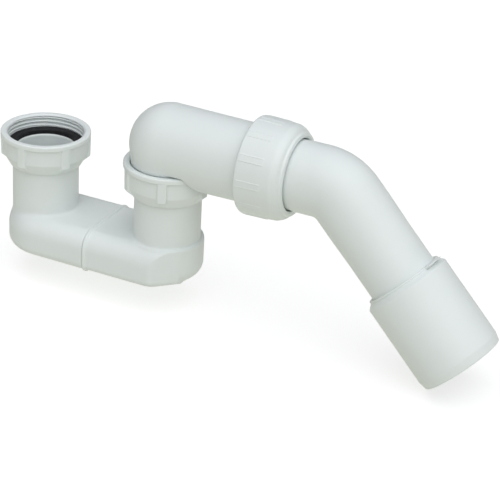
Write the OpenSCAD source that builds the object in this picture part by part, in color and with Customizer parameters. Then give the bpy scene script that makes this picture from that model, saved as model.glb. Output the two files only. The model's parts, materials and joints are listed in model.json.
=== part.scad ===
// Bath trap with a flat welded channel, a swivelling 90 degree elbow,
// a 45 degree bend in a compression joint and a 40/50 reducer sleeve.
// Frame: origin on the inlet axis at the sealing face of the inlet gasket,
// +Z up out of the inlet nut, +X along the channel towards the outlet.

/* [Trap body] */
// Distance between the inlet and the outlet tube axes
tube_spacing = 82.4; // [80:1:88]
// Outer diameter of the two upright tubes
tube_od = 39; // [38.6:0.1:39.2]
// Wall thickness of the tubes and the channel
wall = 2.6; // [2.2:0.1:2.8]
// Height of the channel's top face below the sealing face
channel_top = 39.5; // [38:0.5:42]
// Outer height of the channel
channel_h = 24; // [23:0.5:26]
// Outer width of the channel
channel_w = 55.6; // [54:0.2:57]
// Width of the raised weld seam along the channel
seam_w = 2; // [1.6:0.2:2.4]
// Height of the raised weld seam above the channel
seam_h = 0.8; // [0.6:0.1:1.2]

/* [Union nuts] */
// Outer diameter of the rim of each union nut
nut_rim_od = 53; // [52.6:0.2:55]
// Minor diameter of the internal pipe thread
thread_minor = 44.84; // [44.8:0.02:44.9]
// Length of the thread above the gasket
thread_len = 7.5; // [7:0.5:8]
// Number of grip ribs around each union nut
nut_ribs = 6; // [4:1:8]
// Thickness of the flat gaskets
gasket_t = 3; // [2.6:0.2:3.2]

/* [Elbow] */
// Height of the elbow's arm axis above the sealing face
arm_z = 18.8; // [18.4:0.2:20]
// Outer diameter of the elbow's arm at the knee
arm_od = 46.6; // [46.4:0.2:47]
// Outer diameter of the elbow's arm at its threaded end
arm_end_od = 45; // [44.8:0.1:45.4]
// Length of the arm from the outlet axis to its open end
arm_len = 65.6; // [64:1:68]

/* [Compression joint] */
// Distance from the outlet axis to the nut's open end
cnut_start = 53; // [52:0.2:54]
// Length of the nut's ribbed skirt
cnut_skirt = 21.4; // [20:0.2:22]
// Length of the nut's rounded hood
cnut_hood = 6; // [5.5:0.5:6.5]
// Outer diameter of the nut at its open end
cnut_od = 56.6; // [56.4:0.2:57.4]
// Number of rib pairs around the compression nut
cnut_ribs = 12; // [8:1:14]

/* [Outlet bend] */
// Outer diameter of the outlet pipe
pipe_od = 40; // [39.9:0.05:40.1]
// Wall thickness of the outlet pipe
pipe_wall = 2.4; // [2:0.1:2.6]
// Distance from the outlet axis to the corner of the bend
bend_corner = 103.8; // [102.6:0.2:105.6]
// Angle of the bend
bend_angle = 45; // [40:1:50]
// Turn of the bend about the arm axis
bend_roll = 4.9; // [0:0.1:10]
// Centreline radius of the bend
bend_r = 23; // [22:0.5:26]
// Length of the leg from the corner to the pipe's lower end
leg_len = 92; // [88:1:96]

/* [Reducer sleeve] */
// Outer diameter of the sleeve's spigot
sleeve_od = 50.3; // [50:0.1:50.4]
// Distance from the bend's corner to the sleeve's upper end
sleeve_start = 63.3; // [62:0.1:64]
// Overall length of the sleeve
sleeve_len = 56.4; // [55:0.1:58]

/* [Hidden] */
$fn = 96;
L = tube_spacing;
tube_r = tube_od / 2;
bore_r = tube_r - wall;
zt = -channel_top;
zb = -channel_top - channel_h;
hw = channel_w / 2;
shoulder = 10.5;      // radius of the channel's upper edges
keel = 6;             // radius of the channel's lower edges
end_c = 7;            // centre of the rounded inlet end
collar_r = 22.3;
collar_t = 3.6;
seat_r = 23.2;        // relief below the thread
thread_r = thread_minor / 2;
nut_r = nut_rim_od / 2;
nut_bot = -gasket_t - 9.5;
well_r = 22;          // radius of the outlet end's upright well
well_fillet = 9;
flat_r = well_r - 0.3;  // distance of the 45 degree flats from the outlet axis
flat_fillet = 6;
white = [0.88, 0.90, 0.90];
rubber = [0.06, 0.06, 0.065];

// points of an arc
function arc(cx, cy, r, a0, a1, n = 8) =
    [for (i = [0:n]) let (a = a0 + (a1 - a0) * i / n) [cx + r * cos(a), cy + r * sin(a)]];

// half of the channel's section, from the middle plane out to one side
function half_section(w, top, bot, r1, r2) =
    concat([[0, top]], arc(w - r1, top - r1, r1, 90, 0), arc(w - r2, bot + r2, r2, 0, -90), [[0, bot]]);
// whole section
function section(w, top, bot, r1, r2) =
    concat(arc(w - r1, top - r1, r1, 90, 0), arc(w - r2, bot + r2, r2, 0, -90),
           arc(-w + r2, bot + r2, r2, -90, -180), arc(-w + r1, top - r1, r1, 180, 90));

// section swept along X from x0 to x1
module along_x(x0, x1, w, top, bot, r1, r2)
    translate([x0, 0, 0]) rotate([90, 0, 90]) linear_extrude(x1 - x0)
        polygon(section(w, top, bot, r1, r2));

// inlet end: the section turned about an upright axis and run on to the seam
module inlet_form(o) {
    translate([end_c, 0, 0]) rotate_extrude()
        polygon(half_section(hw - o, zt - o, zb + o, shoulder - o, keel - o));
    along_x(end_c, L / 2, hw - o, zt - o, zb + o, shoulder - o, keel - o);
}

// slab whose lower edge is rounded along one of the 45 degree flats
module flat_slab(side, o) {
    r = flat_r - o;
    f = flat_fillet - o;
    translate([L, 0, 0]) rotate([0, 0, side * 45]) translate([0, 80, 0]) rotate([90, 0, 0]) linear_extrude(160)
        polygon(concat([[-90, zt + 20], [r, zt + 20]], arc(r - f, zb + o + f, f, 0, -90, 6), [[-90, zb + o]]));
}
// upright well below the outlet tube
module well(o)
    translate([L, 0, 0]) rotate_extrude()
        polygon(concat([[0, zt - o], [well_r - o, zt - o]],
                       arc(well_r - well_fillet, zb + well_fillet, well_fillet - o, 0, -90, 8), [[0, zb + o]]));
module outlet_form(o) {
    intersection() {
        along_x(L / 2, L + (flat_r - o) * cos(45) - 1, hw - 0.6 - o, zt - o, zb + o, shoulder - o, keel - o);
        flat_slab(1, o);
        flat_slab(-1, o);
    }
    well(o);
}
// upright tube with the collar that holds its nut
module upright(x, top) {
    translate([x, 0, zt - 1]) cylinder(r = tube_r, h = top - (zt - 1));
    translate([x, 0, top - collar_t]) cylinder(r = collar_r, h = collar_t);
}

module trap_inlet_half() color(white)
    difference() {
        union() {
            inlet_form(0);
            upright(0, -gasket_t);
        }
        inlet_form(wall);
        translate([L / 2 - 1, 0, 0]) rotate([90, 0, 90]) linear_extrude(2)
            polygon(section(hw - wall, zt - wall, zb + wall, shoulder - wall, keel - wall));
        translate([0, 0, zt - wall - 2]) cylinder(r = bore_r, h = 60);
    }

module trap_outlet_half() color(white)
    difference() {
        union() {
            outlet_form(0);
            upright(L, -gasket_t - 0.1);
            along_x(L / 2, L / 2 + seam_w, hw + seam_h, zt + seam_h, zb - seam_h, shoulder + seam_h, keel + seam_h);
        }
        outlet_form(wall);
        translate([L / 2 - 1, 0, 0]) rotate([90, 0, 90]) linear_extrude(2)
            polygon(section(hw - 0.6 - wall, zt - wall, zb + wall, shoulder - wall, keel - wall));
        translate([L, 0, zt - wall - 2]) cylinder(r = bore_r, h = 60);
    }

// union nut, rim up, with the sealing face at z = 0
module union_nut(turn) {
    difference() {
        union() {
            rotate_extrude() polygon([[0, nut_bot], [tube_r + 1.6, nut_bot], [nut_r - 2.6, nut_bot + 3.6],
                [nut_r - 1.3, nut_bot + 6.4], [nut_r - 1.1, thread_len - 3.2], [nut_r, thread_len - 2.6],
                [nut_r, thread_len - 0.8], [nut_r - 0.8, thread_len], [0, thread_len]]);
            for (i = [0:nut_ribs - 1]) rotate([0, 0, turn + i * 360 / nut_ribs])
                intersection() {
                    translate([nut_r - 5, -2.6, nut_bot + 2]) cube([10, 5.2, thread_len - 3 - nut_bot]);
                    rotate_extrude() polygon([[15, nut_bot + 1], [nut_r - 3.2, nut_bot + 2], [nut_r - 0.15, nut_bot + 5.2],
                        [nut_r - 0.15, thread_len - 2], [15, thread_len - 2]]);
                }
        }
        cylinder(r = thread_r, h = 40);
        translate([0, 0, -gasket_t - collar_t - 0.5]) cylinder(r = seat_r, h = gasket_t + collar_t + 0.5);
        translate([0, 0, nut_bot - 1]) cylinder(r = tube_r + 0.4, h = 40);
    }
}
module inlet_nut() color(white) union_nut(28);
module outlet_nut() color(white) translate([L, 0, 0]) union_nut(49);

module gasket_ring()
    translate([0, 0, -gasket_t]) difference() {
        cylinder(r = 22.6, h = gasket_t);
        translate([0, 0, -1]) cylinder(r = 17.6, h = gasket_t + 2);
    }
module inlet_gasket() color(rubber) gasket_ring();
module outlet_gasket() color(rubber) translate([L, 0, 0]) gasket_ring();

// elbow: a dome-ended tapering arm on an upright leg
leg_r = 22.2;
dome_r = arm_od / 2;
arm_end_r = arm_end_od / 2;
socket_r = pipe_od / 2 + 0.35;
scallop_r = nut_r + 0.9;
scallop_z = thread_len + 0.6;
thread_end_r = 24.2;   // crest radius of the arm's external thread
module turned_arm(r0, r1, len)
    translate([L, 0, arm_z]) rotate([0, 90, 0]) rotate_extrude()
        polygon(concat([for (p = arc(0, 0, r0, -90, 0, 14)) p], [[r1, len], [0, len]]));
module elbow() color(white)
    difference() {
        union() {
            difference() {
                union() {
                    turned_arm(dome_r, arm_end_r, arm_len);
                    translate([L + cnut_start + 1.2, 0, arm_z]) rotate([0, 90, 0])
                        cylinder(r = thread_end_r, h = arm_len - cnut_start - 1.2);
                }
                translate([L, 0, arm_z - 60]) cylinder(r = scallop_r, h = 60 - arm_z + scallop_z);
            }
            translate([L, 0, 0.05]) cylinder(r = leg_r, h = arm_z);
        }
        // waterway: leg, knee and arm
        translate([L, 0, -1]) cylinder(r = leg_r - 3, h = arm_z + 1);
        difference() {
            turned_arm(dome_r - 2.8, socket_r, arm_len + 1);
            translate([L, 0, arm_z - 60]) cylinder(r = scallop_r + 2.6, h = 60 - arm_z + scallop_z + 2.6);
        }
        // mouth for the tapered seal
        translate([L + arm_len - 4, 0, arm_z]) rotate([0, 90, 0]) cylinder(r1 = socket_r, r2 = socket_r + 2.4, h = 4);
    }

// compression nut: ribbed skirt and rounded hood
module compression_nut() color(white)
    translate([L + cnut_start, 0, arm_z]) rotate([0, 90, 0]) difference() {
        union() {
            rotate_extrude() polygon(concat([[0, 0], [cnut_od / 2 - 1, 0], [cnut_od / 2, 1], [cnut_od / 2 - 0.9, cnut_skirt]],
                arc(cnut_od / 2 - 6.9, cnut_skirt, 6, 0, 80, 8), [[0, cnut_skirt + cnut_hood]]));
            for (i = [0:cnut_ribs - 1], j = [-1, 1]) rotate([0, 0, i * 360 / cnut_ribs + j * 3.1])
                translate([cnut_od / 2 - 2.4, -0.4, 1.2]) cube([2.55, 0.8, 14.6]);
        }
        translate([0, 0, -1]) cylinder(r = thread_end_r + 0.3, h = arm_len - cnut_start + 1.5 + 1.5);
        cylinder(r = pipe_od / 2 + 0.9, h = 60);
    }

// tapered rubber ring squeezed between the arm's mouth, the pipe and the washer
module cone_seal() color(rubber)
    translate([L + arm_len, 0, arm_z]) rotate([0, 90, 0]) difference() {
        union() {
            translate([0, 0, -3]) cylinder(r1 = socket_r + 0.4, r2 = socket_r + 2.2, h = 3);
            cylinder(r = 23.4, h = 0.6);
        }
        translate([0, 0, -5]) cylinder(r = pipe_od / 2 + 0.06, h = 10);
    }
// stiff ring that lets the nut turn on the seal
module slip_washer() color(white)
    translate([L + arm_len + 0.6, 0, arm_z]) rotate([0, 90, 0]) difference() {
        cylinder(r = 23.6, h = 1.2);
        translate([0, 0, -1]) cylinder(r = pipe_od / 2 + 0.4, h = 4);
    }

// frame of the leg: origin at the bend's corner, +Z down the leg
module leg_frame()
    translate([L + bend_corner, 0, arm_z]) rotate([-bend_roll, 0, 0]) rotate([0, 90 + bend_angle, 0]) children();
bend_t = bend_r * tan(bend_angle / 2);
pipe_in = arm_len - 22;    // start of the pipe inside the elbow
module bend_solid(r, e, s) {
    translate([L + pipe_in - e, 0, arm_z]) rotate([0, 90, 0]) cylinder(r = r, h = bend_corner - bend_t - pipe_in + e);
    translate([L + bend_corner, 0, arm_z]) rotate([-bend_roll, 0, 0])
        translate([-bend_t, 0, -bend_r]) rotate([90, 0, 0])
            rotate([0, 0, 90 - bend_angle]) rotate_extrude(angle = bend_angle) translate([bend_r, 0]) circle(r = r + s);
    leg_frame() translate([0, 0, bend_t]) cylinder(r = r, h = leg_len - bend_t + e);
}
module outlet_bend() color(white)
    difference() {
        bend_solid(pipe_od / 2, 0, 0.15);
        bend_solid(pipe_od / 2 - pipe_wall, 1, -0.1);
    }

// reducer sleeve pushed over the pipe's lower end, with a pull tab
sleeve_r = sleeve_od / 2;
sleeve_bore = sleeve_r - 2.8;
stop_at = leg_len + 0.5;   // shoulder that the pipe's end meets
module reducer_sleeve() color(white)
    leg_frame() difference() {
        union() {
            translate([0, 0, sleeve_start]) cylinder(r1 = pipe_od / 2 + 0.9, r2 = sleeve_r, h = 3.4);
            translate([0, 0, sleeve_start + 3.4]) cylinder(r = sleeve_r, h = sleeve_len - 3.4 - 5);
            translate([0, 0, sleeve_start + sleeve_len - 5]) cylinder(r1 = sleeve_r, r2 = sleeve_r - 1.4, h = 5);
            intersection() {
                translate([0, 0, sleeve_start - 1.2]) cylinder(r = sleeve_r + 1.2, h = 2);
                rotate([0, 0, 188]) translate([15, -6.5, sleeve_start - 2]) cube([14, 13, 4]);
            }
        }
        translate([0, 0, sleeve_start - 2]) cylinder(r = pipe_od / 2 + 0.05, h = stop_at - sleeve_start + 2);
        translate([0, 0, stop_at - 1]) cylinder(r = pipe_od / 2 - pipe_wall, h = 10);
        translate([0, 0, stop_at + 2]) cylinder(r = sleeve_bore, h = 60);
        translate([0, 0, sleeve_start + 10]) cylinder(r = pipe_od / 2 + 2.2, h = 4);
    }
// ring seal in the sleeve's groove
module reducer_ring() color(rubber)
    leg_frame() translate([0, 0, sleeve_start + 10]) difference() {
        cylinder(r = pipe_od / 2 + 2.2, h = 4);
        translate([0, 0, -1]) cylinder(r = pipe_od / 2, h = 6);
    }

trap_inlet_half();
trap_outlet_half();
inlet_nut();
inlet_gasket();
outlet_nut();
outlet_gasket();
elbow();
compression_nut();
cone_seal();
slip_washer();
outlet_bend();
reducer_sleeve();
reducer_ring();
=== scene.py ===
import bpy, math, json
import numpy as np
from mathutils import Matrix, Vector


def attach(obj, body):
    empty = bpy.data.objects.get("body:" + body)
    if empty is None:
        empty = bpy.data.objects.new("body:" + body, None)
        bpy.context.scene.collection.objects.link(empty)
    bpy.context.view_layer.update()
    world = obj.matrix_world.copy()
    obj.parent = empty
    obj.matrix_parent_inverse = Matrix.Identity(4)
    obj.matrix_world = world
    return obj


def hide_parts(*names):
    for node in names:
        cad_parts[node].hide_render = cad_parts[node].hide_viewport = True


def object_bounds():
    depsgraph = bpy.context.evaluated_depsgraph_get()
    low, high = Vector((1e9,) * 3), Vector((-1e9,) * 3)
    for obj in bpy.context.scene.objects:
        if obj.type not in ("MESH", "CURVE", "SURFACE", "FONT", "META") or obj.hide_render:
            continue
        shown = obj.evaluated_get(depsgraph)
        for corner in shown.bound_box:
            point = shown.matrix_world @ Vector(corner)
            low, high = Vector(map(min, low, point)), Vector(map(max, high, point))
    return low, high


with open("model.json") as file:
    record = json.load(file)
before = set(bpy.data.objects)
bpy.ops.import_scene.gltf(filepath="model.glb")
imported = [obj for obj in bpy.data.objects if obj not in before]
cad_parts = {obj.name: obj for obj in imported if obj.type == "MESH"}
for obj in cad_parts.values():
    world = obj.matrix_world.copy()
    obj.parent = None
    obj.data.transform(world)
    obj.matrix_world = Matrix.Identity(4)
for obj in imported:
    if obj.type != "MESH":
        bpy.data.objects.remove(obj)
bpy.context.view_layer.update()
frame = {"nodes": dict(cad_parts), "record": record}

# ---------------------------------------------------------------- sizes, in millimetres, as in the frame
L = 82.4            # outlet axis
TUBE = 19.5         # tube radius
BORE = 16.9
ZT, ZB = -39.5, -63.5
HW = 27.8
END_C = 7.0
AZ = 18.8           # arm axis height
COLLAR = 22.3
ARM_LEN = 65.6
CN0 = 53.0          # open end of the compression nut
BEND_X = 103.8      # corner of the bend
BEND_R = 23.0
ANG = math.radians(45.0)
ROLL = math.radians(4.9)
LEG = 92.0
S0, SL = 63.3, 56.4
BODY_OF = {n: b for b, ns in frame["record"]["behaviour"]["bodies"].items() for n in ns}

# ---------------------------------------------------------------- distance fields
def hyp(a, b):
    return np.sqrt(a * a + b * b)

def smin(a, b, k):
    h = np.maximum(k - np.abs(a - b), 0.0) / k
    return np.minimum(a, b) - h * h * k * 0.25

def smax(a, b, k):
    return -smin(-a, -b, k)

def rect2(p, q, hp, hq, r):
    """Rounded rectangle: p and q are offsets from its centre."""
    a = np.abs(p) - hp + r
    b = np.abs(q) - hq + r
    return np.minimum(np.maximum(a, b), 0.0) + hyp(np.maximum(a, 0.0), np.maximum(b, 0.0)) - r

def can(rho, z, r, z0, z1, rd):
    """Upright cylinder with rounded rims, from its distance to the axis and its height."""
    return rect2(rho, z - 0.5 * (z0 + z1), r, 0.5 * (z1 - z0), rd)

def slot2(p, z, w, top, bot, rt, rb):
    """Channel section with one radius above and another below."""
    zc = 0.5 * (top + bot)
    r = np.where(z > zc, rt, rb)
    a = np.abs(p) - w + r
    b = np.abs(z - zc) - 0.5 * (top - bot) + r
    return np.minimum(np.maximum(a, b), 0.0) + hyp(np.maximum(a, 0.0), np.maximum(b, 0.0)) - r

def surface(f, lo, hi, h, steps=3):
    """Closed quad mesh of f = 0 by surface nets, then pulled on to the exact surface."""
    lo = np.array(lo, float); hi = np.array(hi, float)
    n = np.ceil((hi - lo) / h).astype(int) + 1
    ax = [lo[i] + h * np.arange(n[i]) for i in range(3)]
    V = np.broadcast_to(f(ax[0][:, None, None], ax[1][None, :, None], ax[2][None, None, :]), tuple(n)).astype(np.float32)
    S = V < 0
    cnt = np.zeros(tuple(n - 1), np.int8)
    for i in (0, 1):
        for j in (0, 1):
            for k in (0, 1):
                cnt += S[i:n[0] - 1 + i, j:n[1] - 1 + j, k:n[2] - 1 + k]
    act = (cnt > 0) & (cnt < 8)
    idx = np.argwhere(act)
    ID = np.full(tuple(n - 1), -1, np.int64)
    ID[act] = np.arange(len(idx))
    pos = np.zeros((len(idx), 3)); m = np.zeros(len(idx))
    for a in range(3):
        b, c = (a + 1) % 3, (a + 2) % 3
        for u in (0, 1):
            for v in (0, 1):
                o = np.zeros(3, int); o[b] = u; o[c] = v
                e = o.copy(); e[a] = 1
                va = V[tuple((idx + o).T)].astype(float); vb = V[tuple((idx + e).T)].astype(float)
                k = (va < 0) != (vb < 0)
                t = np.where(k, va / np.where(k, va - vb, 1.0), 0.0)
                q = np.repeat(o[None, :].astype(float), len(idx), 0); q[:, a] = t
                pos += q * k[:, None]; m += k
    P = lo + h * (idx + pos / m[:, None])
    F = lambda q: f(q[:, 0], q[:, 1], q[:, 2])
    for _ in range(steps):
        d = F(P); g = np.empty_like(P)
        for a in range(3):
            e = np.zeros(3); e[a] = 0.04
            g[:, a] = (F(P + e) - F(P - e)) / 0.08
        g2 = np.maximum((g * g).sum(1), 0.05)
        st = g * (d / g2)[:, None]
        ln = np.sqrt((st * st).sum(1)); st *= np.minimum(1.0, 0.45 * h / np.maximum(ln, 1e-9))[:, None]
        P = P - st
    faces = []
    for a in range(3):
        b, c = (a + 1) % 3, (a + 2) % 3
        s0 = [slice(None)] * 3; s1 = [slice(None)] * 3
        s0[a] = slice(0, -1); s1[a] = slice(1, None)
        e = np.argwhere(S[tuple(s0)] != S[tuple(s1)])
        e = e[(e[:, b] > 0) & (e[:, c] > 0) & (e[:, b] < n[b] - 1) & (e[:, c] < n[c] - 1)]
        o = np.zeros((4, 3), int)
        o[0, b] = -1; o[0, c] = -1; o[1, c] = -1; o[3, b] = -1
        q = np.stack([ID[tuple((e + o[k]).T)] for k in range(4)], 1)
        up = S[tuple(e.T)]
        q[~up] = q[~up][:, ::-1]
        faces.append(q)
    return P, np.concatenate(faces)

# ---------------------------------------------------------------- turned parts
def rounded(pts, step=0.6):
    """Closed outline from corners (r, z, radius), corners rounded, then cut to even steps."""
    out = []
    n = len(pts)
    for i in range(n):
        p = np.array(pts[i][:2], float); rad = pts[i][2]
        a = np.array(pts[i - 1][:2], float); b = np.array(pts[(i + 1) % n][:2], float)
        u = a - p; v = b - p; lu = np.linalg.norm(u); lv = np.linalg.norm(v); u /= lu; v /= lv
        th = math.acos(max(-1.0, min(1.0, float(u @ v))))
        if rad <= 0 or th > 3.1:
            out.append(p); continue
        t = rad / math.tan(th / 2); t = min(t, 0.48 * lu, 0.48 * lv); rad = t * math.tan(th / 2)
        cdir = (u + v) / np.linalg.norm(u + v); c = p + cdir * rad / math.sin(th / 2)
        p0 = p + u * t; p1 = p + v * t
        a0 = math.atan2(*(p0 - c)[::-1]); a1 = math.atan2(*(p1 - c)[::-1])
        d = (a1 - a0 + math.pi) % (2 * math.pi) - math.pi
        k = max(3, int(math.ceil(abs(d) / math.radians(18))))
        for j in range(k + 1):
            w = a0 + d * j / k
            out.append(c + rad * np.array([math.cos(w), math.sin(w)]))
    res = []
    for i in range(len(out)):
        a = out[i]; b = out[(i + 1) % len(out)]; ln = np.linalg.norm(b - a)
        if ln < 1e-4:
            continue
        k = max(1, int(math.ceil(ln / step)))
        for j in range(k):
            res.append(a + (b - a) * j / k)
    return np.array(res)

def turned(prof, theta, shape=None):
    """Vertices and quads of an outline turned about z; shape(r, z, theta) may move each point."""
    R = np.repeat(prof[:, 0][:, None], len(theta), 1)
    Z = np.repeat(prof[:, 1][:, None], len(theta), 1)
    T = np.repeat(theta[None, :], len(prof), 0)
    if shape is not None:
        R, Z = shape(R, Z, T)
    P = np.stack([R * np.cos(T), R * np.sin(T), Z], -1).reshape(-1, 3)
    nt, nh = len(prof), len(theta)
    i = np.arange(nt)[:, None]; j = np.arange(nh)[None, :]
    a = i * nh + j; b = ((i + 1) % nt) * nh + j; c = ((i + 1) % nt) * nh + (j + 1) % nh; d = i * nh + (j + 1) % nh
    Q = np.stack([a, b, c, d], -1).reshape(-1, 4)
    area = 0.5 * np.sum(prof[:, 0] * np.roll(prof[:, 1], -1) - np.roll(prof[:, 0], -1) * prof[:, 1])
    if area > 0:
        Q = Q[:, ::-1]
    return P, Q

def angles(n, extra=()):
    t = list(np.arange(n) * 2 * math.pi / n)
    for c, w, k in extra:
        t += [(c + w * (2.0 * i / (k - 1) - 1.0)) % (2 * math.pi) for i in range(k)]
    t = np.sort(np.array(t))
    keep = np.concatenate([[True], np.diff(t) > 2e-4])
    return t[keep]

def step01(x):
    x = np.clip(x, 0.0, 1.0)
    return x * x * (3 - 2 * x)

def gap(t, c):
    """Signed angle from c to t."""
    return (t - c + math.pi) % (2 * math.pi) - math.pi

# ---------------------------------------------------------------- materials
def rgb(v):
    return (v[0], v[1], v[2], 1.0)

def plastic(name, base, rough=0.42, mottle=0.02, seed=0.0, bump=0.10, ripple=0.06):
    m = bpy.data.materials.new(name); m.use_nodes = True
    nt = m.node_tree; N = nt.nodes; K = nt.links
    bs = N["Principled BSDF"]
    tc = N.new("ShaderNodeTexCoord")
    mp = N.new("ShaderNodeMapping"); mp.inputs["Location"].default_value = (seed, 0.37 * seed, 0.71 * seed)
    K.new(tc.outputs["Object"], mp.inputs["Vector"])
    def noise(scale, detail, rough_):
        n = N.new("ShaderNodeTexNoise")
        n.inputs["Scale"].default_value = scale; n.inputs["Detail"].default_value = detail
        n.inputs["Roughness"].default_value = rough_
        K.new(mp.outputs["Vector"], n.inputs["Vector"])
        return n
    big, mid, fine = noise(28.0, 3.0, 0.55), noise(240.0, 4.0, 0.6), noise(2600.0, 2.0, 0.5)
    cr = N.new("ShaderNodeValToRGB")
    e = cr.color_ramp.elements
    lo = [c * (1 - mottle) for c in base]; hi = [min(1.0, c * (1 + mottle)) for c in base]
    lo[0] *= 0.992; hi[2] *= 1.004
    e[0].position, e[0].color = 0.30, rgb(lo)
    e[1].position, e[1].color = 0.72, rgb(hi)
    mx = N.new("ShaderNodeMath"); mx.operation = "MULTIPLY_ADD"
    mx.inputs[1].default_value = 0.25; 
    K.new(mid.outputs["Fac"], mx.inputs[0]); 
    sc = N.new("ShaderNodeMath"); sc.operation = "MULTIPLY"; sc.inputs[1].default_value = 0.75
    K.new(big.outputs["Fac"], sc.inputs[0]); K.new(sc.outputs[0], mx.inputs[2])
    K.new(mx.outputs[0], cr.inputs["Fac"])
    K.new(cr.outputs["Color"], bs.inputs["Base Color"])
    rr = N.new("ShaderNodeMapRange")
    rr.inputs["To Min"].default_value = rough - 0.06; rr.inputs["To Max"].default_value = rough + 0.07
    K.new(mid.outputs["Fac"], rr.inputs["Value"]); K.new(rr.outputs["Result"], bs.inputs["Roughness"])
    b1 = N.new("ShaderNodeBump"); b1.inputs["Strength"].default_value = bump; b1.inputs["Distance"].default_value = 0.00004
    K.new(fine.outputs["Fac"], b1.inputs["Height"])
    b2 = N.new("ShaderNodeBump"); b2.inputs["Strength"].default_value = ripple; b2.inputs["Distance"].default_value = 0.0006
    K.new(mid.outputs["Fac"], b2.inputs["Height"]); K.new(b1.outputs["Normal"], b2.inputs["Normal"])
    K.new(b2.outputs["Normal"], bs.inputs["Normal"])
    bs.inputs["IOR"].default_value = 1.49
    bs.inputs["Specular IOR Level"].default_value = 0.45
    bs.inputs["Subsurface Weight"].default_value = 0.12
    bs.inputs["Subsurface Radius"].default_value = (1.0, 0.95, 0.85)
    bs.inputs["Subsurface Scale"].default_value = 0.0016
    return m

def rubber(name):
    m = bpy.data.materials.new(name); m.use_nodes = True
    nt = m.node_tree; N = nt.nodes; K = nt.links
    bs = N["Principled BSDF"]
    tc = N.new("ShaderNodeTexCoord")
    a = N.new("ShaderNodeTexNoise"); a.inputs["Scale"].default_value = 420.0; a.inputs["Detail"].default_value = 5.0
    b = N.new("ShaderNodeTexNoise"); b.inputs["Scale"].default_value = 3800.0; b.inputs["Detail"].default_value = 2.0
    K.new(tc.outputs["Object"], a.inputs["Vector"]); K.new(tc.outputs["Object"], b.inputs["Vector"])
    cr = N.new("ShaderNodeValToRGB"); e = cr.color_ramp.elements
    e[0].position, e[0].color = 0.35, (0.006, 0.006, 0.007, 1)
    e[1].position, e[1].color = 0.75, (0.016, 0.017, 0.018, 1)
    K.new(a.outputs["Fac"], cr.inputs["Fac"]); K.new(cr.outputs["Color"], bs.inputs["Base Color"])
    rr = N.new("ShaderNodeMapRange"); rr.inputs["To Min"].default_value = 0.5; rr.inputs["To Max"].default_value = 0.72
    K.new(a.outputs["Fac"], rr.inputs["Value"]); K.new(rr.outputs["Result"], bs.inputs["Roughness"])
    bp = N.new("ShaderNodeBump"); bp.inputs["Strength"].default_value = 0.25; bp.inputs["Distance"].default_value = 0.00006
    K.new(b.outputs["Fac"], bp.inputs["Height"]); K.new(bp.outputs["Normal"], bs.inputs["Normal"])
    bs.inputs["Specular IOR Level"].default_value = 0.3
    return m

WHITE = (0.763, 0.806, 0.795)
MAT = {
    "body_plastic": plastic("body_plastic", WHITE, 0.44, 0.018, 1.3),
    "nut_plastic": plastic("nut_plastic", [c * 1.01 for c in WHITE], 0.40, 0.014, 4.1),
    "elbow_plastic": plastic("elbow_plastic", WHITE, 0.42, 0.018, 7.7),
    "bend_plastic": plastic("bend_plastic", WHITE, 0.42, 0.018, 2.9),
    "sleeve_plastic": plastic("sleeve_plastic", WHITE, 0.42, 0.016, 9.2),
    "washer_plastic": plastic("washer_plastic", (0.72, 0.74, 0.74), 0.35, 0.02, 5.5),
    "seal_rubber": rubber("seal_rubber"),
}

def piece(name, P, Q, slot, node, shadow=True):
    me = bpy.data.meshes.new(name)
    P = np.asarray(P, float) * 0.001
    me.vertices.add(len(P)); me.vertices.foreach_set("co", P.astype(np.float32).ravel())
    Q = np.asarray(Q)
    me.loops.add(Q.size); me.loops.foreach_set("vertex_index", Q.astype(np.int32).ravel())
    me.polygons.add(len(Q))
    me.polygons.foreach_set("loop_start", np.arange(0, Q.size, 4, dtype=np.int32))
    me.polygons.foreach_set("loop_total", np.full(len(Q), 4, np.int32))
    me.polygons.foreach_set("use_smooth", np.ones(len(Q), bool))
    me.update(calc_edges=True); me.validate()
    me.materials.append(MAT[slot])
    ob = bpy.data.objects.new(name, me)
    bpy.context.scene.collection.objects.link(ob)
    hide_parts(node)
    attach(ob, BODY_OF[node])
    return ob

# ---------------------------------------------------------------- the welded channel
def inlet_half(x, y, z):
    rho = hyp(x, y)
    ex = np.minimum(x - END_C, 0.0)
    p = hyp(ex, y)
    ch = slot2(p, z, HW, ZT, ZB, 10.5, 6.0)
    tube_r = TUBE + 0.004 * (-3.0 - z)
    tube = can(rho, z, tube_r, ZT - 8, -3.2, 0.4)
    out = smin(ch, tube, 1.8)
    out = smin(out, can(rho, z, COLLAR, -6.6, -3.0, 0.7), 0.5)
    cav = slot2(p, z, HW - 2.6, ZT - 2.6, ZB + 2.6, 7.9, 3.4)
    bore = can(rho, z, BORE, ZT - 8, 4.0, 0.3)
    inner = smin(cav, bore, 2.0)
    d = smax(out, -inner, 0.7)
    return smax(d, x - (L / 2 - 0.14), 0.5)

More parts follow.
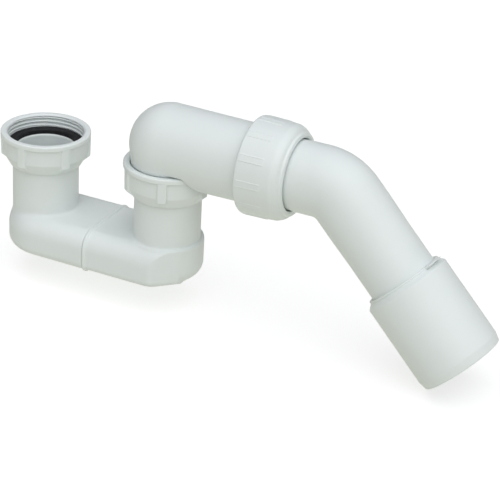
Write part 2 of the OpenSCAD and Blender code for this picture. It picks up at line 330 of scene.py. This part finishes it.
def outlet_half(x, y, z):
    rho = hyp(x - L, y)
    w = HW - 0.6
    ch = slot2(y, z, w, ZT, ZB, 10.5, 5.0)
    dd = (x - L) * math.sqrt(0.5)
    fl = np.maximum(dd + y * math.sqrt(0.5), dd - y * math.sqrt(0.5)) - 21.75
    # rounded lower edge along the slanting faces
    f = 5.0
    qa = fl + f; qb = (ZB - z) + f
    slab = np.minimum(np.maximum(qa, qb), 0.0) + hyp(np.maximum(qa, 0.0), np.maximum(qb, 0.0)) - f
    sl = smax(ch, slab, 2.2)
    sl_hard = smax(ch, slab, 0.8)
    t = np.clip((z + 50.0) / 6.0, 0.0, 1.0)
    sl = sl * (1 - t) + sl_hard * t
    sl = np.maximum(sl, x - (L + 16.0))
    well = slot2(rho, z, 22.0, ZT, ZB, 1.2, 9.0)
    out = smin(sl, well, 0.9)
    tube_r = TUBE + 0.006 * (-3.0 - z)
    tube = can(rho, z, tube_r, ZT - 8, -3.2, 0.4)
    out = smin(out, tube, 1.2)
    out = smin(out, can(rho, z, COLLAR, -6.6, -3.1, 0.7), 0.5)
    # weld bead
    band = slot2(y, z, w + 0.85, ZT + 0.85, ZB - 0.85, 11.3, 5.9)
    bead = smax(band, np.abs(x - (L / 2 + 1.1)) - 1.05, 0.9)
    out = smin(out, bead, 0.35)
    cav = slot2(y, z, w - 2.6, ZT - 2.6, ZB + 2.6, 7.9, 3.4)
    cav = np.maximum(smax(cav, fl + 2.6, 1.0), x - (L + 12.5))
    cav = smin(cav, slot2(rho, z, 19.4, ZT - 2.6, ZB + 2.6, 1.0, 6.4), 1.0)
    bore = can(rho, z, BORE, ZT - 8, 4.0, 0.3)
    inner = smin(cav, bore, 2.0)
    d = smax(out, -inner, 0.7)
    return smax(d, (L / 2 + 0.06) - x, 0.25)

H = 1.0
P, Q = surface(inlet_half, (-23, -31, -66), (L / 2 + 1.5, 31, -1.5), 0.62 * H)
piece("trap_inlet_half_skin", P, Q, "body_plastic", "trap_inlet_half")
P, Q = surface(outlet_half, (L / 2 - 1.5, -31, -66), (L + 25, 31, -1.5), 0.62 * H)
piece("trap_outlet_half_skin", P, Q, "body_plastic", "trap_outlet_half")

# ---------------------------------------------------------------- union nuts
PITCH = 2.309
def union_nut(name, node, cx, turn):
    prof = rounded([
        (22.42, 0.0, 0.15), (22.42, 6.6, 0.2), (23.5, 7.5, 0.35), (26.55, 7.5, 0.9), (26.55, 4.5, 0.7),
        (25.2, 4.0, 0.5), (24.9, -5.6, 2.2), (21.2, -12.5, 0.9), (19.9, -12.5, 0.3), (19.9, -7.1, 0.2),
        (23.2, -7.1, 0.3), (23.2, 0.0, 0.2)], 0.3 * H)
    ribs = [math.radians(turn + 60 * i) for i in range(6)]
    half = 2.75 / 26.0
    th = angles(int(216 / H), [(r + s * half, 0.022, 6) for r in ribs for s in (-1, 1)])
    def shape(R, Z, T):
        out = (R > 20.6) & (Z < 4.6) & (R > 23.3 - 0.0 * Z) | ((Z < -5.0) & (R > 20.6))
        out &= ~((R < 23.35) & (Z > -7.3))
        w = np.zeros_like(R)
        for r in ribs:
            w = np.maximum(w, 1 - step01((np.abs(gap(T, r)) - half + 0.016) / 0.032))
        top = np.where(Z > -7.4, 26.4 + 0.02 * Z, 26.25 - (-7.4 - Z) * 1.15)
        add = np.maximum(top - R, 0.0)
        R2 = np.where(out & (Z < 4.4), R + add * w, R)
        # thread: rounded V groove cut outwards from the minor diameter
        th_ = (R < 22.44) & (Z > 0.0) & (Z < 6.62)
        ph = (Z / PITCH - T / (2 * math.pi)) % 1.0
        tri = 1 - np.abs(2 * ph - 1)
        dep = 1.45 * step01((tri - 0.18) / 0.72)
        fade = step01(Z / 0.5) * step01((7.1 - Z) / 0.6)
        R2 = np.where(th_, R2 + dep * fade, R2)
        return R2, Z
    P, Q = turned(prof, th, shape)
    P[:, 0] += cx
    return piece(name, P, Q, "nut_plastic", node)
union_nut("inlet_nut_skin", "inlet_nut", 0.0, 28)
union_nut("outlet_nut_skin", "outlet_nut", L, 49)

# flat gasket in the inlet nut
prof = rounded([(17.45, -2.95, 0.5), (22.5, -2.95, 0.5), (22.5, -0.02, 0.8), (17.45, -0.02, 0.8)], 0.35)
P, Q = turned(prof, angles(160))
piece("inlet_gasket_skin", P, Q, "seal_rubber", "inlet_gasket")

# ---------------------------------------------------------------- elbow
def elbow(x, y, z):
    rho = hyp(x - L, y)
    ax = x - L
    rr = hyp(y, z - AZ)
    t = np.clip(ax / ARM_LEN, 0.0, 1.0)
    ra = 23.3 - 0.8 * t
    arm = np.where(ax < 0, np.sqrt(ax * ax + rr * rr) - 23.3, rr - ra)
    arm = smax(arm, ax - ARM_LEN, 0.6)
    # thread land under the nut
    land = smax(rr - 24.2, np.abs(ax - 0.5 * (CN0 + 1.4 + ARM_LEN)) - 0.5 * (ARM_LEN - CN0 - 1.4), 0.6)
    arm = smin(arm, land, 0.4)
    cut = can(rho, z, 27.4, -60.0, 8.1, 0.5)
    arm = smax(arm, -cut, 0.9)
    ridge = 0.5 * (1 + np.cos(2 * math.pi * (z / PITCH - np.arctan2(y, x - L) / (2 * math.pi))))
    leg_r = 22.15 - np.where(z < 7.6, 0.75 * ridge * step01((7.6 - z) / 1.0), 0.0)
    leg = smax(rho - leg_r, np.maximum(0.06 - z, z - AZ), 0.6)
    out = smin(arm, leg, 1.6)
    ri = 20.5 - 0.15 * t
    bore = np.where(ax < 0, np.sqrt(ax * ax + rr * rr) - ri, rr - ri)
    weir = can(rho, z, 30.0, -60.0, 10.7, 0.6)
    bore = smax(bore, -weir, 0.8)
    mouth = (rr - (20.35 + 2.4 * np.clip((ax - (ARM_LEN - 4)) / 4.0, 0, 1)))
    bore = np.where(ax > ARM_LEN - 4, np.minimum(bore, mouth), bore)
    legb = np.maximum(rho - 19.2, z - AZ)
    bore = smin(bore, legb, 0.8)
    return smax(out, -bore, 0.6)
P, Q = surface(elbow, (L - 25, -26, -1.5), (L + ARM_LEN + 1.5, 26, AZ + 25), 0.62 * H)
piece("elbow_skin", P, Q, "elbow_plastic", "elbow")

# ---------------------------------------------------------------- compression nut
def place_arm(P, x0):
    """Turned about z, laid along +X from x0 on the arm's axis."""
    return np.stack([L + x0 + P[:, 2], P[:, 1], AZ - P[:, 0]], 1)
prof = rounded([
    (24.5, 0.0, 0.5), (28.25, 0.0, 1.3), (27.95, 14.0, 0.0), (27.55, 21.0, 5.0), (26.0, 24.4, 4.0), (24.2, 25.6, 0.8),
    (23.9, 26.9, 0.8), (22.2, 27.4, 1.0), (20.95, 27.0, 0.5), (20.95, 15.0, 0.2), (24.5, 14.8, 0.2)], 0.45 * H)
pads = [math.radians(30 * i) for i in range(12)]
he = math.radians(3.75)
th = angles(int(180 / H), [(p + s * he, 0.026, 9) for p in pads for s in (-1, 1)])
def pad_shape(R, Z, T):
    g = np.full_like(R, 9.0)
    for p in pads:
        g = np.minimum(g, np.abs(gap(T, p)))
    inside = step01((he - g) / 0.008 + 0.5)
    edge = np.exp(-((g - he) / 0.009) ** 2)
    along = step01((Z - 1.4) / 0.7) * step01((16.2 - Z) / 0.7)
    out = (R > 27.0) & (Z > 0.6) & (Z < 20.0)
    R2 = R + np.where(out, (0.12 * inside + 0.26 * edge) * along, 0.0)
    return R2, Z
P, Q = turned(prof, th, pad_shape)
piece("compression_nut_skin", place_arm(P, CN0), Q, "nut_plastic", "compression_nut")

# ---------------------------------------------------------------- outlet bend
bt = BEND_R * math.tan(ANG / 2)
RX = Matrix.Rotation(-ROLL, 3, "X")
D = np.array(RX @ Matrix.Rotation(math.pi / 2 + ANG, 3, "Y") @ Vector((0, 0, 1)))
UP = np.array(RX @ Vector((0, 0, 1)))
SIDE = np.array(RX @ Vector((0, 1, 0)))
CORNER = np.array([L + BEND_X, 0.0, AZ])
def centre(s):
    """Point and direction on the pipe's centreline; s = 0 where the curve starts."""
    arc = BEND_R * ANG
    A = CORNER - np.array([bt, 0, 0])
    if s <= 0:
        return A + np.array([s, 0, 0]), np.array([1.0, 0, 0])
    if s < arc:
        a = s / BEND_R
        p = A + np.array([BEND_R * math.sin(a), 0, 0]) - UP * BEND_R * (1 - math.cos(a))
        return p, np.array([math.cos(a), 0, 0]) - UP * math.sin(a)
    return CORNER + D * (bt + s - arc), D
S_IN = -(BEND_X - bt - (ARM_LEN - 22.0))
S_OUT = BEND_R * ANG + LEG - bt
def pipe():
    ss = [S_IN, S_IN + 0.6] + list(np.linspace(S_IN + 2, -4, 26)) + list(np.linspace(-3, BEND_R * ANG + 3, 30)) + \
         list(np.linspace(BEND_R * ANG + 5, S_OUT - 2, 40)) + [S_OUT - 0.6, S_OUT]
    rings = []
    n = 128
    t = np.arange(n) * 2 * math.pi / n
    hood = -(BEND_X - bt - (CN0 + 27.4))       # where the pipe leaves the nut
    def ro(s):
        swell = float(step01(np.array((s - hood) / 3.0)) * step01(np.array((BEND_R * ANG + 34 - s) / 26.0)))
        r = 20.0 + 0.35 * swell
        if s < S_IN + 0.5 or s > S_OUT - 0.5:
            r -= 0.5
        return r
    seq = [(s, ro(s)) for s in ss] + [(s, 17.6 + (0.4 if (s < S_IN + 0.5 or s > S_OUT - 0.5) else 0.0)) for s in reversed(ss)]
    for s, r in seq:
        c, d = centre(s)
        up = np.cross(SIDE, d); up = -up if np.dot(up, UP) < 0 else up
        rings.append(c + r * (np.cos(t)[:, None] * up + np.sin(t)[:, None] * SIDE))
    P = np.concatenate(rings); m = len(seq)
    i = np.arange(m)[:, None]; j = np.arange(n)[None, :]
    a = i * n + j; b = ((i + 1) % m) * n + j; c = ((i + 1) % m) * n + (j + 1) % n; d = i * n + (j + 1) % n
    Q = np.stack([a, b, c, d], -1).reshape(-1, 4)
    v0, v1, v2 = P[Q[:, 0]], P[Q[:, 1]], P[Q[:, 2]]
    v3 = P[Q[:, 3]]
    vol = np.einsum("ij,ij->i", v0, np.cross(v1, v2)).sum() + np.einsum("ij,ij->i", v0, np.cross(v2, v3)).sum()
    if vol < 0:
        Q = Q[:, ::-1]
    return P, Q
P, Q = pipe()
piece("outlet_bend_skin", P, Q, "bend_plastic", "outlet_bend")

# ---------------------------------------------------------------- reducer sleeve with its tab
E1 = np.cross(D, np.array([0, 1.0, 0])); E1 /= np.linalg.norm(E1)
if E1[2] < 0:
    E1 = -E1
E2 = np.cross(D, E1)
def place_leg(P):
    return CORNER + P[:, 0:1] * E1 + P[:, 1:2] * E2 + P[:, 2:3] * D
prof = rounded([
    (20.08, S0, 0.25), (21.3, S0 - 0.75, 0.3), (22.2, S0 - 0.75, 0.0), (22.5, S0 - 0.1, 0.0), (22.2, S0 + 0.55, 0.0), (25.1, S0 + 3.3, 0.7),
    (25.22, S0 + SL - 5.2, 0.9), (24.1, S0 + SL, 0.7), (22.6, S0 + SL, 0.5), (22.35, S0 + 31.4, 0.3),
    (17.7, S0 + 31.2, 0.4), (17.7, S0 + 29.3, 0.3), (20.08, S0 + 29.3, 0.2)], 0.6 * H)
TAB = math.radians(8.0) * (1 if np.dot(E2, np.array([0, 1.0, 0])) < 0 else -1)
TABW = math.radians(14.5)
th = angles(int(160 / H), [(TAB + s * TABW, 0.03, 8) for s in (-1, 1)])
def tab_shape(R, Z, T):
    fin = (R > 21.9) & (Z < S0 + 0.7)
    w = step01((TABW - np.abs(gap(T, TAB))) / 0.03 + 0.5)
    reach = np.clip((R - 21.9) / 0.55, 0, 1)
    return np.where(fin, R + 3.9 * w * reach, R), Z
P, Q = turned(prof, th, tab_shape)
piece("reducer_sleeve_skin", place_leg(P), Q, "sleeve_plastic", "reducer_sleeve")

# ---------------------------------------------------------------- hidden rings keep their solids
for n in ("outlet_gasket", "cone_seal", "slip_washer", "reducer_ring"):
    o = frame["nodes"][n]
    m = MAT["washer_plastic"] if n == "slip_washer" else MAT["seal_rubber"]
    if not o.material_slots:
        o.data.materials.append(m)
    for s in o.material_slots:
        s.material = m

# ---------------------------------------------------------------- floor, light and camera
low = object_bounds()[0][2] - 0.0004
me = bpy.data.meshes.new("floor")
me.from_pydata([(-8, -8, low), (8, -8, low), (8, 8, low), (-8, 8, low)], [], [(0, 1, 2, 3)])
fm = bpy.data.materials.new("floor_paint"); fm.use_nodes = True
fn = fm.node_tree.nodes; fl = fm.node_tree.links
for n in list(fn):
    fn.remove(n)
fo = fn.new("ShaderNodeOutputMaterial")
pale = fn.new("ShaderNodeBsdfDiffuse"); pale.inputs["Color"].default_value = (0.50, 0.50, 0.50, 1)
glow = fn.new("ShaderNodeEmission"); glow.inputs["Color"].default_value = (1, 1, 1, 1); glow.inputs["Strength"].default_value = 0.62
both = fn.new("ShaderNodeAddShader"); fl.new(pale.outputs[0], both.inputs[0]); fl.new(glow.outputs[0], both.inputs[1])
bounce = fn.new("ShaderNodeEmission"); bounce.inputs["Color"].default_value = (0.990, 1.0, 0.885, 1); bounce.inputs["Strength"].default_value = 0.714
ray = fn.new("ShaderNodeLightPath"); mixs = fn.new("ShaderNodeMixShader")
fl.new(ray.outputs["Is Camera Ray"], mixs.inputs[0]); fl.new(bounce.outputs[0], mixs.inputs[1]); fl.new(both.outputs[0], mixs.inputs[2])
fl.new(mixs.outputs[0], fo.inputs["Surface"])
me.materials.append(fm)
floor = bpy.data.objects.new("floor", me)
bpy.context.scene.collection.objects.link(floor)

# soft studio light: wide lobes of a pale sky, each (direction, power, radiance)
LOBES = [((0.0, 0.0, 1.0), 3.0, 0.92), ((0.408, -0.913, 1.2), 4.0, 1.71), ((0.9, 0.3, 1.0), 4.0, 0.44)]
w = bpy.data.worlds.new("soft"); bpy.context.scene.world = w; w.use_nodes = True
wn = w.node_tree.nodes; wk = w.node_tree.links
bg = wn["Background"]
tcw = wn.new("ShaderNodeTexCoord")
total = None
for d, pw, k in LOBES:
    d = Vector(d).normalized()
    dot = wn.new("ShaderNodeVectorMath"); dot.operation = "DOT_PRODUCT"; dot.inputs[1].default_value = d
    wk.new(tcw.outputs["Generated"], dot.inputs[0])
    mx = wn.new("ShaderNodeMath"); mx.operation = "MAXIMUM"; mx.inputs[1].default_value = 0.0
    wk.new(dot.outputs["Value"], mx.inputs[0])
    po = wn.new("ShaderNodeMath"); po.operation = "POWER"; po.inputs[1].default_value = pw
    wk.new(mx.outputs[0], po.inputs[0])
    sk = wn.new("ShaderNodeVectorMath"); sk.operation = "SCALE"; sk.inputs[0].default_value = (0.99 * k, 0.998 * k, 1.02 * k)
    wk.new(po.outputs[0], sk.inputs["Scale"])
    if total is None:
        total = sk.outputs[0]
    else:
        ad = wn.new("ShaderNodeVectorMath"); ad.operation = "ADD"
        wk.new(total, ad.inputs[0]); wk.new(sk.outputs[0], ad.inputs[1]); total = ad.outputs[0]
wk.new(total, bg.inputs["Color"])
bg.inputs["Strength"].default_value = 1.0

def camera():
    a, e, r = math.radians(24.07), math.radians(27.33), math.radians(3.56)
    C = np.array([493.7, -800.55, 410.43 + 7.6]) * 0.001
    Fd = -np.array([math.sin(a) * math.cos(e), -math.cos(a) * math.cos(e), math.sin(e)])
    R = np.cross(Fd, [0, 0, 1.0]); R /= np.linalg.norm(R); U = np.cross(R, Fd)
    R2 = math.cos(r) * R + math.sin(r) * U; U2 = -math.sin(r) * R + math.cos(r) * U
    cd = bpy.data.cameras.new("cam"); cd.sensor_fit = "HORIZONTAL"; cd.sensor_width = 36.0
    cd.lens = 1727.39 / 500 * 36.0; cd.clip_start = 0.02; cd.clip_end = 60
    ob = bpy.data.objects.new("cam", cd)
    M = Matrix(((R2[0], U2[0], -Fd[0], C[0]), (R2[1], U2[1], -Fd[1], C[1]), (R2[2], U2[2], -Fd[2], C[2]), (0, 0, 0, 1)))
    ob.matrix_world = M
    bpy.context.scene.collection.objects.link(ob)
    bpy.context.scene.camera = ob
camera()
sc = bpy.context.scene
sc.view_settings.view_transform = "Standard"
sc.view_settings.look = "None"
